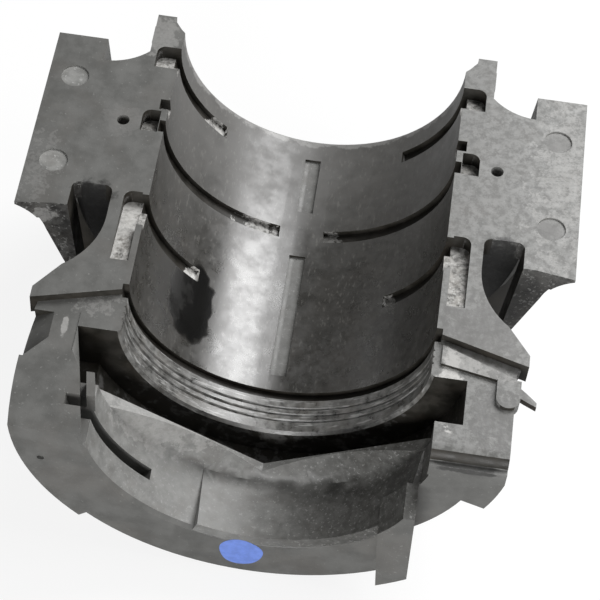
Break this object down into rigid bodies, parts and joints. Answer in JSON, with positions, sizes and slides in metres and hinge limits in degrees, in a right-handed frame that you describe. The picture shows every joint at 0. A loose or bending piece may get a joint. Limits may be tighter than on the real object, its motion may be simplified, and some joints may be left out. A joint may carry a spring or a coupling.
{
  "type": "stabiliser bar bushing half shell",
  "caption": "Half-round moulded shell that clamps a round bar, with flanged ears, saddle ribs on a flat foot, and a stepped cup with a V seat at one end.",
  "frame": {"origin": "on the bar's axis, in the split plane, half way along the bearing seat", "axes": "+Y along the bar towards the collar, away from the cup; +Z out of the split face; +X across, towards the key side"},
  "size_m": [0.112, 0.1068, 0.0447],
  "materials": {
    "nylon": "mottled satin, as moulded"
  },
  "bodies": {
    "root": {"bushing_shell": "nylon"}
  },
  "joints": []
}
